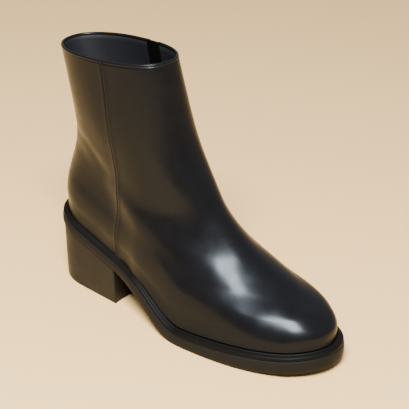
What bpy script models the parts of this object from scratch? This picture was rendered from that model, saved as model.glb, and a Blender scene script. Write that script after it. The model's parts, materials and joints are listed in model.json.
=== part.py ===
"""Block heel boot for the right foot: a zipped leather upper on a welted sole with a block heel."""

from collections import namedtuple
from math import pi, radians

import bmesh
import bpy
import numpy as np
from mathutils import Matrix, Vector

# Sizes in millimetres. X runs from heel to toe, Y to the inner side of the foot, Z up from the floor.
MM = 0.001
GAP = 0.3

# Bottom of the last
SEAT_HEIGHT = 66.3
SEAT_SLOPE = 0.286
SEAT_END = 99.0
CURL_HEIGHT = 3.0
CURL_END = 28.0
BALL_X = 153.0
BALL_HEIGHT = 13.0
TOE_X = 256.0
TOE_RISE = 7.5
TOE_CURVE = 1.3
WAIST_SWING = 6.0
TOE_SWING = 15.8
SWING_FROM = 100.0
SWING_SPAN = 0.9

# Upper
WALL = 1.8
ROWS_BETWEEN = 3
BACK_COLUMNS = 9
FRONT_COLUMNS = 17
HEEL_CLOSURE = 2.2
WAIST_FROM = 0.28
SKEW_CURVE = 3
NORMAL_STEP = 0.004
NORMAL_LEVELS = 0.05

# A level of the upper: ends of its centre line, half widths, how its outline closes, how far it follows the
# feather line, and how far its front end stands over to the inner side
Level = namedtuple(
    "Level",
    "front_x front_z back_x back_z heel_half ball_half broad_at heel_round toe_round follow skew",
)
LEVELS = (
    Level(256.5, 21.0, 3.3, 63.0, 29.6, 44.5, 0.62, 0.12, 2.08, 1.0, 0.0),
    Level(256.2, 32.0, -0.8, 77.5, 31.6, 43.0, 0.63, 0.13, 2.22, 1.0, 1.5),
    Level(244.5, 40.6, -0.5, 89.5, 31.5, 40.8, 0.62, 0.15, 2.34, 0.8, 4.5),
    Level(222.0, 48.4, 1.6, 102.3, 30.0, 36.5, 0.55, 0.19, 2.08, 0.5, 5.5),
    Level(186.0, 66.3, 5.2, 115.8, 28.9, 33.6, 0.50, 0.26, 1.80, 0.2, 3.2),
    Level(159.5, 88.4, 7.0, 128.0, 29.0, 31.2, 0.47, 0.36, 1.88, 0.0, 1.2),
    Level(141.2, 114.7, 7.6, 141.9, 31.0, 31.8, 0.48, 0.44, 2.05, 0.0, 0.2),
    Level(121.6, 151.3, 4.2, 165.2, 32.0, 32.8, 0.49, 0.47, 2.20, 0.0, 0.0),
    Level(105.0, 212.6, -8.0, 200.5, 29.5, 29.0, 0.50, 0.50, 2.25, 0.0, 0.0),
)
TOP_LEVEL = len(LEVELS) - 1

# Side seam: its x at the feather line and at the collar, and the wall's step beside it
SEAM_FOOT_X = 77.0
SEAM_TOP_X = 58.0
SEAM_BEND = 7.0
SeamStep = namedtuple("SeamStep", "ahead height")
SEAM_STEPS = (
    SeamStep(-3.0, 0.0),
    SeamStep(-0.9, 0.1),
    SeamStep(0.0, -0.7),
    SeamStep(0.9, 0.5),
    SeamStep(4.0, 0.3),
)

# Zip: its x at the feather line and at the collar, slot, tape and chain
ZIP_FOOT_X = 91.5
ZIP_TOP_X = 60.0
ZIP_BEND = 1.5
ZIP_FOOT_LEVEL = 2.0 / 3.0
SLOT_HALF = 2.7
SLOT_FLARE = 3.0
FLARE_LEVELS = 0.45
ZIP_ROWS = 26

# A strip of the zip: half width, depth of its face under the upper's outside, thickness, levels and columns
Strip = namedtuple("Strip", "half deep thick foot top columns")
TAPE = Strip(7.0, WALL + GAP, 0.8, 0.45, 7.97, 6)
CHAIN = Strip(2.2, 0.6, 1.2, 0.72, 7.83, 3)

# Slider and pull, on the zip's line just under the collar
SLIDER_LEVEL = 7.905
SLIDER_WIDTH = 7.2
SLIDER_HEIGHT = 7.0
SLIDER_INSIDE = 1.2
SLIDER_OUTSIDE = 0.8
AXLE_RADIUS = 0.6
AXLE_OUT = 2.5
LUG_THICK = 1.0
LUG_RADIUS = 1.15
LUG_SPACE = 3.4
LUG_ROOT = 0.6
LUG_ROUND = 0.3
KNUCKLE_RADIUS = 1.3
KNUCKLE_BORE = 0.95
KNUCKLE_WIDTH = 2.7
PULL_LENGTH = 18.0
PULL_WIDTH = 4.6
PULL_NECK = 2.2
PULL_THICK = 1.0
PULL_EYE_RADIUS = 1.1
PULL_EYE_IN = 2.4
PULL_EDGE = 0.4
NECK_SHARE = 0.36
NECK_LAP = 0.5
BLADE_THIN = 0.1
SLIDER_EDGE = 0.5
ROUND_SEGMENTS = 20

# Welt: a section of the rim, out from the feather line and up from it, with a ledge under the upper
LEDGE_DROP = 2 * GAP
RimPoint = namedtuple("RimPoint", "out up")
WELT_RIM = (
    RimPoint(-2.2, -4.0),
    RimPoint(5.4, -4.0),
    RimPoint(6.3, -3.4),
    RimPoint(6.8, -2.0),
    RimPoint(6.4, -0.7),
    RimPoint(5.6, -0.2),
    RimPoint(2.9, -0.2),
    RimPoint(2.4, 0.7),
    RimPoint(1.5, 0.9),
    RimPoint(0.8, 0.5),
    RimPoint(0.5, -LEDGE_DROP),
    RimPoint(-2.2, -LEDGE_DROP),
)
WELT_DEEP = 4.0

# Outsole: a section of its side, out from the feather line and as a share of its depth from the top
SidePoint = namedtuple("SidePoint", "out share")
SOLE_SIDE = (
    SidePoint(5.6, 0.0),
    SidePoint(7.2, 0.10),
    SidePoint(7.8, 0.32),
    SidePoint(7.8, 0.70),
    SidePoint(7.2, 0.86),
    SidePoint(5.8, 1.0),
)
SEAT_DEEP = 12.0
UNDER_END = 92.0
FLAT_FROM = 149.0
FLAT_TO = 182.0
SPRING_HEIGHT = 5.0
SPRING_CURVE = 1.5
SOLE_COLUMNS = 44

# Heel block
BREAST_X = 75.5
BREAST_HOLLOW = 3.0
HEEL_BACK_TAPER = 0.8
HEEL_SIDE_TAPER = 0.95
HEEL_INSET = 6.6
HEEL_COLUMNS = 18
BREAST_COLUMNS = 6
HEEL_EDGE = 1.0

# Insole
INSOLE_INSET = 2.7
INSOLE_TOP = 1.2

Finish = namedtuple("Finish", "colour roughness metallic")
LEATHER = Finish((0.012, 0.011, 0.010), 0.32, 0.0)
WELT_RUBBER = Finish((0.014, 0.013, 0.012), 0.42, 0.0)
SOLE_RUBBER = Finish((0.018, 0.017, 0.015), 0.5, 0.0)
HEEL_RUBBER = Finish((0.022, 0.019, 0.016), 0.45, 0.0)
FOOTBED = Finish((0.03, 0.032, 0.04), 0.7, 0.0)
ZIP_CLOTH = Finish((0.01, 0.01, 0.012), 0.9, 0.0)
ZIP_TEETH = Finish((0.03, 0.03, 0.032), 0.4, 0.0)
DARK_METAL = Finish((0.14, 0.14, 0.15), 0.35, 1.0)


def smooth(t):
    """Eases a share from nought to one."""
    t = np.clip(t, 0.0, 1.0)
    return t * t * (3.0 - 2.0 * t)


def between(x, x0, z0, slope0, x1, z1, slope1):
    """Cubic through two points with given slopes."""
    t = np.clip((x - x0) / (x1 - x0), 0.0, 1.0)
    run = x1 - x0
    start = (2 * t**3 - 3 * t**2 + 1) * z0 + (t**3 - 2 * t**2 + t) * run * slope0
    return start + (-2 * t**3 + 3 * t**2) * z1 + (t**3 - t**2) * run * slope1


def seat_line(x):
    """Height of the heel seat's edge, which levels off towards the back."""
    curl = np.clip(1.0 - np.asarray(x, float) / CURL_END, 0.0, 2.0)
    return SEAT_HEIGHT - SEAT_SLOPE * x - CURL_HEIGHT * curl**2


def feather_height(x):
    """Height of the line where the upper meets the welt."""
    x = np.asarray(x, float)
    arch = between(x, SEAT_END, seat_line(SEAT_END), -SEAT_SLOPE, BALL_X, BALL_HEIGHT, 0.0)
    ahead = np.maximum(x - BALL_X, 0.0) / (TOE_X - BALL_X)
    toe = BALL_HEIGHT + TOE_RISE * ahead**TOE_CURVE
    return np.where(x < SEAT_END, seat_line(x), np.where(x < BALL_X, arch, toe))


def ground_height(x):
    """Height of the outsole's underside."""
    x = np.asarray(x, float)
    seat = seat_line(x) - SEAT_DEEP
    arch = between(x, UNDER_END, seat_line(UNDER_END) - SEAT_DEEP, -SEAT_SLOPE, FLAT_FROM, 0.0, 0.0)
    ahead = np.maximum(x - FLAT_TO, 0.0) / (TOE_X - FLAT_TO)
    toe = SPRING_HEIGHT * ahead**SPRING_CURVE
    return np.where(x < UNDER_END, seat, np.where(x < FLAT_FROM, arch, toe))


def centre_line(x):
    """Sideways swing of the last towards the inner side."""
    share = np.clip((np.asarray(x, float) - SWING_FROM) / (TOE_X - SWING_FROM), 0.0, 1.1)
    return WAIST_SWING * np.sin(pi * np.clip(share / SWING_SPAN, 0.0, 1.0)) + TOE_SWING * share**2


def level_at(v):
    """The table of levels read at any height, with a smooth curve through its rows."""
    table = np.array(LEVELS)
    i = min(int(v), TOP_LEVEL - 1)
    t = v - i
    here, after = table[i], table[i + 1]
    before = table[i - 1] if i > 0 else 2 * here - after
    beyond = table[i + 2] if i + 2 <= TOP_LEVEL else 2 * after - here
    bend = 2 * before - 5 * here + 4 * after - beyond
    curl = 3 * here - before - 3 * after + beyond
    return Level(*(0.5 * (2 * here + (after - before) * t + bend * t**2 + curl * t**3)))


def half_width(level, s):
    """Half width of a level at shares of its length from back to front."""
    swell = smooth((s - WAIST_FROM) / (level.broad_at - WAIST_FROM))
    width = level.heel_half + (level.ball_half - level.heel_half) * swell
    back = np.clip(1.0 - s / level.heel_round, 0.0, 1.0) ** HEEL_CLOSURE
    front = np.clip((s - level.broad_at) / (1.0 - level.broad_at), 0.0, 1.0) ** level.toe_round
    return width * (1.0 - back) ** (1.0 / HEEL_CLOSURE) * (1.0 - front) ** (1.0 / level.toe_round)


def skin(v, s, side):
    """Points on the outside of the last at one level. Side is 1 for the inner side and -1 for the outer."""
    level = level_at(v)
    s = np.asarray(s, float)
    x = level.back_x + (level.front_x - level.back_x) * s
    ends = feather_height(np.array([level.back_x, level.front_x]))
    sag = feather_height(x) - (ends[0] + (ends[1] - ends[0]) * s)
    straight = level.back_z + (level.front_z - level.back_z) * s
    z = straight + np.clip(level.follow, 0.0, 1.0) * sag
    if v <= 0.0:
        z = feather_height(x)
    middle = centre_line(x) + level.skew * np.clip(s, 0.0, 1.0) ** SKEW_CURVE
    y = middle + side * half_width(level, s)
    return np.stack([x, y, z], axis=-1)


def skin_normal(v, s, side):
    """Outward directions of the last at one level."""
    s = np.clip(np.asarray(s, float), 2 * NORMAL_STEP, 1.0 - 2 * NORMAL_STEP)
    low, high = max(v - NORMAL_LEVELS, 0.001), min(v + NORMAL_LEVELS, TOP_LEVEL)
    along = skin(v, s + NORMAL_STEP, side) - skin(v, s - NORMAL_STEP, side)
    up = skin(high, s, side) - skin(low, s, side)
    out = -side * np.cross(along, up)
    return out / np.linalg.norm(out, axis=-1, keepdims=True)


def share_of_x(v, x):
    """The share of a level's length at a given x."""
    level = level_at(v)
    return (x - level.back_x) / (level.front_x - level.back_x)


def length_of(v):
    """A level's length along x."""
    level = level_at(v)
    return level.front_x - level.back_x


def seam_share(v):
    """Where the side seam crosses a level."""
    rise = v / TOP_LEVEL
    return share_of_x(v, SEAM_FOOT_X + (SEAM_TOP_X - SEAM_FOOT_X) * rise**SEAM_BEND)


def zip_share(v):
    """Where the zip's middle crosses a level."""
    rise = v / TOP_LEVEL
    return share_of_x(v, ZIP_FOOT_X + (ZIP_TOP_X - ZIP_FOOT_X) * rise**ZIP_BEND)


def slot_half(v):
    """Half width of the zip's slot, which flares at the collar."""
    return SLOT_HALF + SLOT_FLARE * float(smooth((v - TOP_LEVEL + FLARE_LEVELS) / FLARE_LEVELS))


def spread(first, last):
    """Shares from the back to one line and from a second line to the front, close together at the ends."""
    back = first * (1.0 - np.cos(0.5 * pi * np.arange(BACK_COLUMNS) / BACK_COLUMNS))
    count = np.arange(1, FRONT_COLUMNS + 1) / FRONT_COLUMNS
    return back, last + (1.0 - last) * np.sin(0.5 * pi * count)


def outer_half(v):
    """The upper's outer side at one level, from back to front, with the seam's step."""
    middle = seam_share(v)
    ahead = np.array([step.ahead for step in SEAM_STEPS]) / length_of(v)
    back, front = spread(middle + ahead[0], middle + ahead[-1])
    s = np.concatenate([back, middle + ahead, front])
    raised = np.concatenate([0 * back, [step.height for step in SEAM_STEPS], 0 * front])
    return skin(v, s, -1) + raised[:, None] * skin_normal(v, s, -1)


def inner_half(v):
    """The upper's inner side at one level, from back to front, with the slot's two edges."""
    middle = zip_share(v)
    edge = slot_half(v) / length_of(v)
    back, front = spread(middle - edge, middle + edge)
    return skin(v, np.concatenate([back, [middle - edge, middle + edge], front]), 1)


def mesh_object(name, points, faces, finish, group):
    """One object from points in millimetres and its faces."""
    mesh = bpy.data.meshes.new(name)
    mesh.from_pydata([tuple(MM * np.asarray(p)) for p in points], [], faces)
    shell = bmesh.new()
    shell.from_mesh(mesh)
    bmesh.ops.recalc_face_normals(shell, faces=shell.faces)
    shell.to_mesh(mesh)
    shell.free()
    obj = bpy.data.objects.new(name, mesh)
    group.objects.link(obj)
    dress(obj, finish)
    return obj


def dress(obj, finish):
    """Gives an object a plain material of its own."""
    material = bpy.data.materials.new(obj.name)
    material.use_nodes = True
    shader = material.node_tree.nodes["Principled BSDF"]
    shader.inputs["Base Color"].default_value = (*finish.colour, 1.0)
    shader.inputs["Roughness"].default_value = finish.roughness
    shader.inputs["Metallic"].default_value = finish.metallic
    obj.data.materials.clear()
    obj.data.materials.append(material)


def ring_faces(rows, columns, skip=()):
    """Quads between rows of closed loops, without those at the skipped row and column."""
    faces = []
    for r in range(rows - 1):
        low, high = r * columns, (r + 1) * columns
        for c in range(columns):
            if (r, c) not in skip:
                d = (c + 1) % columns
                faces.append((low + c, low + d, high + d, high + c))
    return faces


def build_upper(group):
    """The hollow upper: level loops from the feather line to the collar, with the zip's slot left open."""
    heights = np.linspace(0.0, TOP_LEVEL, TOP_LEVEL * ROWS_BETWEEN + 1)
    loops = []
    for v in heights:
        outer, inner = outer_half(v), inner_half(v)
        loops.append(np.concatenate([outer, inner[-2:0:-1]]))
    outer_count = len(outer)
    columns = len(loops[0])
    slot_column = outer_count + FRONT_COLUMNS - 1
    open_rows = [r for r in range(len(heights) - 1) if heights[r] >= ZIP_FOOT_LEVEL - 0.01]
    skip = {(r, slot_column) for r in open_rows}
    faces = ring_faces(len(loops), columns, skip)
    obj = mesh_object("upper", np.concatenate(loops), faces, LEATHER, group)
    wall = obj.modifiers.new("wall", "SOLIDIFY")
    wall.thickness = WALL * MM
    wall.offset = -1.0
    wall.use_rim = True
    wall.use_even_offset = False
    return obj


def outline(out, columns):
    """The feather line moved outwards in plan, as two sides from back to front at like columns."""
    s = 0.5 * (1.0 - np.cos(np.linspace(0.0, pi, columns)))
    sides = []
    for side in (-1, 1):
        line = skin(0.0, s, side)[:, :2]
        run = np.gradient(line, axis=0)
        run[0], run[-1] = (0.0, side), (0.0, -side)
        across = side * np.stack([-run[:, 1], run[:, 0]], axis=1)
        sides.append(line + out * across / np.linalg.norm(across, axis=1, keepdims=True))
    return sides


def loop_of(sides):
    """One closed loop from two sides that share their ends."""
    return np.concatenate([sides[0], sides[1][-2:0:-1]])


def with_height(plan, height):
    """Plan points lifted to a height worked out from x."""
    return np.concatenate([plan, height(plan[:, 0])[:, None]], axis=1)


def cap(first, columns):
    """Quads across a loop made of two sides with like columns, with a triangle at each end."""
    half = columns // 2
    faces = [(first, first + 1, first + columns - 1)]
    for c in range(1, half - 1):
        faces.append((first + c, first + c + 1, first + columns - c - 1, first + columns - c))
    faces.append((first + half - 1, first + half, first + half + 1))
    return faces


def plate(name, loops, finish, group):
    """A solid between stacked loops, closed by caps at the first and the last."""
    columns = len(loops[0])
    faces = ring_faces(len(loops), columns)
    faces += cap(0, columns) + cap(columns * (len(loops) - 1), columns)
    return mesh_object(name, np.concatenate(loops), faces, finish, group)


def build_welt(group):
    """The rim all round: one section carried along the feather line and joined to itself."""
    loops = []
    for point in WELT_RIM:
        plan = loop_of(outline(point.out, SOLE_COLUMNS))
        loops.append(with_height(plan, lambda x, up=point.up: feather_height(x) + up))
    columns = len(loops[0])
    faces = ring_faces(len(loops), columns)
    last = columns * (len(loops) - 1)
    for c in range(columns):
        d = (c + 1) % columns
        faces.append((last + c, last + d, d, c))
    return mesh_object("welt", np.concatenate(loops), faces, WELT_RUBBER, group)


def sole_top(x):
    """Height of the outsole's upper face."""
    return feather_height(x) - WELT_DEEP - GAP


def build_outsole(group):
    """The outsole plate with its rounded side."""
    loops = []
    for point in SOLE_SIDE:
        plan = loop_of(outline(point.out, SOLE_COLUMNS))
        share = point.share
        loops.append(with_height(plan, lambda x, k=share: (1 - k) * sole_top(x) + k * ground_height(x)))
    return plate("outsole", loops, SOLE_RUBBER, group)


def build_insole(group):
    """The footbed inside the welt."""
    loops = []
    for height in (lambda x: sole_top(x) + GAP, lambda x: feather_height(x) + INSOLE_TOP):
        loops.append(with_height(loop_of(outline(-INSOLE_INSET, SOLE_COLUMNS)), height))
    return plate("insole", loops, FOOTBED, group)


def heel_loop():
    """Plan of the heel block at the sole: the sole's outline behind the breast, and the hollow breast."""
    sides = outline(HEEL_INSET, 4 * SOLE_COLUMNS)
    share = np.sin(0.5 * pi * np.linspace(0.0, 1.0, HEEL_COLUMNS))
    reach = sides[0][0, 0] + (BREAST_X - sides[0][0, 0]) * (1.0 - share[::-1])
    walls = []
    for side in sides:
        upto = side[: np.argmax(side[:, 0])]
        walls.append(np.stack([reach[::-1], np.interp(reach[::-1], upto[:, 0], upto[:, 1])], axis=1))
    across = np.linspace(0.0, 1.0, BREAST_COLUMNS + 2)[1:-1]
    start, end = walls[1][0], walls[0][0]
    breast = start + across[:, None] * (end - start)
    breast[:, 0] -= BREAST_HOLLOW * 4.0 * across * (1.0 - across)
    return np.concatenate([walls[0], walls[1][-2::-1], breast])


def build_heel(group):
    """The block: its top against the sloping sole, its foot flat on the floor and tapered in."""
    top = heel_loop()
    back = top[:, 0].min()
    foot = top.copy()
    foot[:, 0] = BREAST_X - (BREAST_X - top[:, 0]) * (BREAST_X - back - HEEL_BACK_TAPER) / (BREAST_X - back)
    foot[:, 1] *= HEEL_SIDE_TAPER
    middle = foot.mean(axis=0)
    inset = foot + HEEL_EDGE * (middle - foot) / np.linalg.norm(middle - foot, axis=1, keepdims=True)
    roof = with_height(top, lambda x: ground_height(x) - GAP)
    low = np.concatenate([foot, np.full((len(foot), 1), HEEL_EDGE)], axis=1)
    floor = np.concatenate([inset, np.zeros((len(foot), 1))], axis=1)
    loops = [roof, low, floor]
    columns = len(top)
    faces = ring_faces(len(loops), columns)
    faces += [tuple(range(columns)), tuple(range(2 * columns, 3 * columns))]
    obj = mesh_object("heel", np.concatenate(loops), faces, HEEL_RUBBER, group)
    shell = bmesh.new()
    shell.from_mesh(obj.data)
    bmesh.ops.triangulate(shell, faces=[f for f in shell.faces if len(f.verts) > 4])
    shell.to_mesh(obj.data)
    shell.free()
    return obj


def zip_strip(name, strip, finish, group):
    """A strip along the zip, laid at a depth under the upper's outside."""
    heights = np.linspace(strip.foot, strip.top, ZIP_ROWS)
    columns = strip.columns
    share = np.linspace(-1.0, 1.0, columns)
    sections = []
    for v in heights:
        s = zip_share(v) + share * strip.half / length_of(v)
        face, out = skin(v, s, 1), skin_normal(v, s, 1)
        back = face - (strip.deep + strip.thick) * out
        sections.append(np.concatenate([face - strip.deep * out, back[::-1]]))
    around = 2 * columns
    faces = ring_faces(len(sections), around)
    for first in (0, around * (len(sections) - 1)):
        for c in range(columns - 1):
            faces.append((first + c, first + c + 1, first + around - c - 2, first + around - c - 1))
    return mesh_object(name, np.concatenate(sections), faces, finish, group)


def box(name, size, centre, group):
    """A cuboid of given size in millimetres."""
    mesh = bpy.data.meshes.new(name)
    shell = bmesh.new()
    bmesh.ops.create_cube(shell, size=1.0)
    for vert in shell.verts:
        vert.co = Vector([MM * (c + s * p) for c, s, p in zip(centre, size, vert.co)])
    shell.to_mesh(mesh)
    shell.free()
    obj = bpy.data.objects.new(name, mesh)
    group.objects.link(obj)
    return obj


def rod(name, radius, length, group, centre=(0.0, 0.0, 0.0), along="X"):
    """A cylinder along X or Y in millimetres."""
    mesh = bpy.data.meshes.new(name)
    shell = bmesh.new()
    wide = radius * MM
    bmesh.ops.create_cone(
        shell, cap_ends=True, segments=ROUND_SEGMENTS, radius1=wide, radius2=wide, depth=length * MM
    )
    turn = Matrix.Rotation(radians(90), 4, "Y" if along == "X" else "X")
    bmesh.ops.transform(shell, matrix=Matrix.Translation(Vector(centre) * MM) @ turn, verts=shell.verts)
    shell.to_mesh(mesh)
    shell.free()
    obj = bpy.data.objects.new(name, mesh)
    group.objects.link(obj)
    return obj


def combine(obj, other, operation):
    """Joins or cuts one object with a helper."""
    step = obj.modifiers.new(other.name, "BOOLEAN")
    step.operation = operation
    step.solver = "EXACT"
    step.object = other


def slider_frame():
    """The slider's place on the upper: X along its axle, Y out of the leather, Z up the zip."""
    s = np.array([zip_share(SLIDER_LEVEL)])
    at = skin(SLIDER_LEVEL, s, 1)[0]
    out = skin_normal(SLIDER_LEVEL, s, 1)[0]
    below = skin(SLIDER_LEVEL - 0.1, np.array([zip_share(SLIDER_LEVEL - 0.1)]), 1)[0]
    up = at - below
    up -= out * np.dot(up, out)
    up /= np.linalg.norm(up)
    along = np.cross(out, up)
    turn = Matrix([[along[i], out[i], up[i]] for i in range(3)]).to_4x4()
    return Matrix.Translation(Vector(at) * MM) @ turn


def build_slider(place, group, helpers):
    """The slider's body with two lugs and the axle between them."""
    thick = SLIDER_INSIDE + SLIDER_OUTSIDE
    middle = 0.5 * (SLIDER_OUTSIDE - SLIDER_INSIDE)
    body = box("zip_slider", (SLIDER_WIDTH, thick, SLIDER_HEIGHT), (0.0, middle, 0.0), group)
    edge = body.modifiers.new("edge", "BEVEL")
    edge.width = SLIDER_EDGE * MM
    edge.segments = 2
    lug_at = 0.5 * (LUG_SPACE + LUG_THICK)
    reach = AXLE_OUT + LUG_RADIUS - SLIDER_OUTSIDE + LUG_ROOT
    for sign, name in ((-1, "lug_back"), (1, "lug_front")):
        centre = (sign * lug_at, AXLE_OUT + LUG_RADIUS - 0.5 * reach, 0.0)
        lug = box(name, (LUG_THICK, reach, 2 * LUG_RADIUS), centre, helpers)
        rounded = lug.modifiers.new("rounded", "BEVEL")
        rounded.width = LUG_ROUND * MM
        rounded.segments = 2
        combine(body, lug, "UNION")
    axle = rod("axle", AXLE_RADIUS, LUG_SPACE + LUG_THICK, helpers, (0.0, AXLE_OUT, 0.0))
    combine(body, axle, "UNION")
    for obj in [body] + [o for o in helpers.objects]:
        obj.matrix_world = place
    dress(body, DARK_METAL)
    return body


def build_pull(place, group, helpers):
    """The tab: a knuckle on the axle, a neck and a plate with an eye, hanging down the leather."""
    pull = rod("zip_pull", KNUCKLE_RADIUS, KNUCKLE_WIDTH, group)
    neck_long = NECK_SHARE * PULL_LENGTH
    plate_long = PULL_LENGTH - neck_long
    neck = box("pull_neck", (PULL_NECK, PULL_THICK, neck_long), (0.0, 0.0, -0.5 * neck_long), helpers)
    centre = (0.0, 0.0, -neck_long - 0.5 * plate_long + NECK_LAP)
    blade = box("pull_blade", (PULL_WIDTH, PULL_THICK - BLADE_THIN, plate_long), centre, helpers)
    corner = blade.modifiers.new("corner", "BEVEL")
    corner.width = PULL_EDGE * MM
    corner.segments = 2
    eye_at = (0.0, 0.0, PULL_EYE_IN - PULL_LENGTH)
    eye = rod("pull_eye", PULL_EYE_RADIUS, 4 * PULL_THICK, helpers, eye_at, "Y")
    bore = rod("pull_bore", KNUCKLE_BORE, 2 * KNUCKLE_WIDTH, helpers)
    for other in (neck, blade):
        combine(pull, other, "UNION")
    for other in (eye, bore):
        combine(pull, other, "DIFFERENCE")
    hinge = place @ Matrix.Translation(Vector((0.0, AXLE_OUT * MM, 0.0)))
    for obj in (pull, neck, blade, eye, bore):
        obj.matrix_world = hinge
    dress(pull, DARK_METAL)
    return pull


def middle_of_base(objects):
    """Centre of the pieces' box in plan."""
    bpy.context.view_layer.update()
    corners = [obj.matrix_world @ vert.co for obj in objects for vert in obj.data.vertices]
    lows = [min(c[i] for c in corners) for i in range(2)]
    highs = [max(c[i] for c in corners) for i in range(2)]
    return Vector((0.5 * (lows[0] + highs[0]), 0.5 * (lows[1] + highs[1]), 0.0))


def main():
    """Clears the scene and builds every piece, centred on its base."""
    for obj in list(bpy.data.objects):
        bpy.data.objects.remove(obj)
    group = bpy.data.collections.new("block_heel_boot")
    helpers = bpy.data.collections.new("helpers")
    for collection in (group, helpers):
        bpy.context.scene.collection.children.link(collection)
    helpers.hide_render = True
    pieces = [build(group) for build in (build_outsole, build_welt, build_heel, build_insole, build_upper)]
    pieces.append(zip_strip("zip_tape", TAPE, ZIP_CLOTH, group))
    pieces.append(zip_strip("zip_chain", CHAIN, ZIP_TEETH, group))
    place = slider_frame()
    pieces.append(build_slider(place, group, helpers))
    pieces.append(build_pull(place, group, helpers))
    shift = Matrix.Translation(-middle_of_base(pieces))
    for obj in list(group.objects) + list(helpers.objects):
        obj.matrix_world = shift @ obj.matrix_world
    for obj in helpers.objects:
        obj.hide_render = True
        obj.display_type = "WIRE"


main()
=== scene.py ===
"""Looks of the block heel boot: fine leather, lining, welt, sole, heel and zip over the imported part."""

from __future__ import annotations

import json
import logging
from dataclasses import dataclass, field
from enum import Enum
from math import pi, radians
from typing import Iterable, Sequence

import bpy
import numpy as np
from mathutils import Matrix, Vector

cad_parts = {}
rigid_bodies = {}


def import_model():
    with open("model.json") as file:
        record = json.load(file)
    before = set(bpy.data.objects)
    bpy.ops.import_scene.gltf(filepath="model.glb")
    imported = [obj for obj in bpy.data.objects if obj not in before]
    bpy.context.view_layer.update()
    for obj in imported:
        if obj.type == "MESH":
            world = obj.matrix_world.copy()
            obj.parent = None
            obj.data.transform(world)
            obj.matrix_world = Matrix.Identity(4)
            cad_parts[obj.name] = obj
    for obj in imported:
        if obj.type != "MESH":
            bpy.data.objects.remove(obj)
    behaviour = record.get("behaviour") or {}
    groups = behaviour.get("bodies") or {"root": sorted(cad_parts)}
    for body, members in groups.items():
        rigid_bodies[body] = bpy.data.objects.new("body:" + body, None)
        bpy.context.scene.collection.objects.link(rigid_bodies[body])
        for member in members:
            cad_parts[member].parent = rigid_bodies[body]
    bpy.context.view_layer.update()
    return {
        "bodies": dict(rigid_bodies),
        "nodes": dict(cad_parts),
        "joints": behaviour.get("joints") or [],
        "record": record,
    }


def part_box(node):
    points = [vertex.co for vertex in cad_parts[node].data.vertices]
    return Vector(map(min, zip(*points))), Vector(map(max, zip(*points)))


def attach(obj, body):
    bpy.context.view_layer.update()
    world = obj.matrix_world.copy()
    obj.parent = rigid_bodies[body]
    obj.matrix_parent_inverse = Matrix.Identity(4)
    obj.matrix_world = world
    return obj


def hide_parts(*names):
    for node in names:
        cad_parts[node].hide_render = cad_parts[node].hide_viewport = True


LOG = logging.getLogger("block_heel_boot")
MM = 0.001
BODY = "boot"
CORNERS = ((-1.0, -1.0), (1.0, -1.0), (1.0, 1.0), (-1.0, 1.0))
# Socket numbers of a mix node that blends colours
MIX_FIRST, MIX_SECOND, MIX_RESULT = 6, 7, 2

Colour = tuple[float, float, float]
Place = tuple[float, float, float]
Faces = list[tuple[int, ...]]
Node = bpy.types.Node
Socket = bpy.types.NodeSocket
Tree = bpy.types.NodeTree


class Side(Enum):
    """Sides of the foot."""

    OUTER = -1
    INNER = 1


class Slot(Enum):
    """Slots of the record for the new pieces."""

    LEATHER = "leather"
    WELT = "welt_rubber"
    SOLE = "sole_rubber"
    HEEL = "heel_rubber"
    CLOTH = "zip_cloth"
    TEETH = "zip_teeth"


def smooth(t: np.ndarray | float) -> np.ndarray:
    """Eases shares from nought to one."""
    t = np.clip(t, 0.0, 1.0)
    return t * t * (3.0 - 2.0 * t)


def bump(d: np.ndarray, middle: float, width: float) -> np.ndarray:
    """A soft bump of height one, which falls to about a third at its width from the middle."""
    return np.exp(-(((d - middle) / width) ** 2))


def unit(v: np.ndarray) -> np.ndarray:
    """Directions brought to length one."""
    return v / np.linalg.norm(v, axis=-1, keepdims=True)


def run_along(path: np.ndarray) -> np.ndarray:
    """Distance along a path at each of its points."""
    return np.concatenate([[0.0], np.cumsum(np.linalg.norm(np.diff(path, axis=0), axis=1))])


def read_at(at: np.ndarray | float, run: np.ndarray, rows: np.ndarray) -> np.ndarray:
    """Rows of numbers that go with a path, read at distances along it."""
    return np.stack([np.interp(at, run, column) for column in rows.T], axis=-1)


def between(x: np.ndarray, start: Sequence[float], end: Sequence[float]) -> np.ndarray:
    """A cubic through two points with given slopes.

    Args:
        x: places to read.
        start: x, height and slope where the curve starts.
        end: x, height and slope where it ends.

    Returns:
        Heights.
    """
    run = end[0] - start[0]
    t = np.clip((x - start[0]) / run, 0.0, 1.0)
    first = (2 * t**3 - 3 * t**2 + 1) * start[1] + (t**3 - 2 * t**2 + t) * run * start[2]
    return first + (-2 * t**3 + 3 * t**2) * end[1] + (t**3 - t**2) * run * end[2]


@dataclass(frozen=True)
class Level:
    """One level of the last: its ends, its half widths, and how its outline closes, follows and leans."""

    front_x: float
    front_z: float
    back_x: float
    back_z: float
    heel_half: float
    ball_half: float
    broad_at: float
    heel_round: float
    toe_round: float
    follow: float
    skew: float

    def row(self) -> tuple[float, ...]:
        """The level as one row of numbers."""
        return tuple(vars(self).values())


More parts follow.
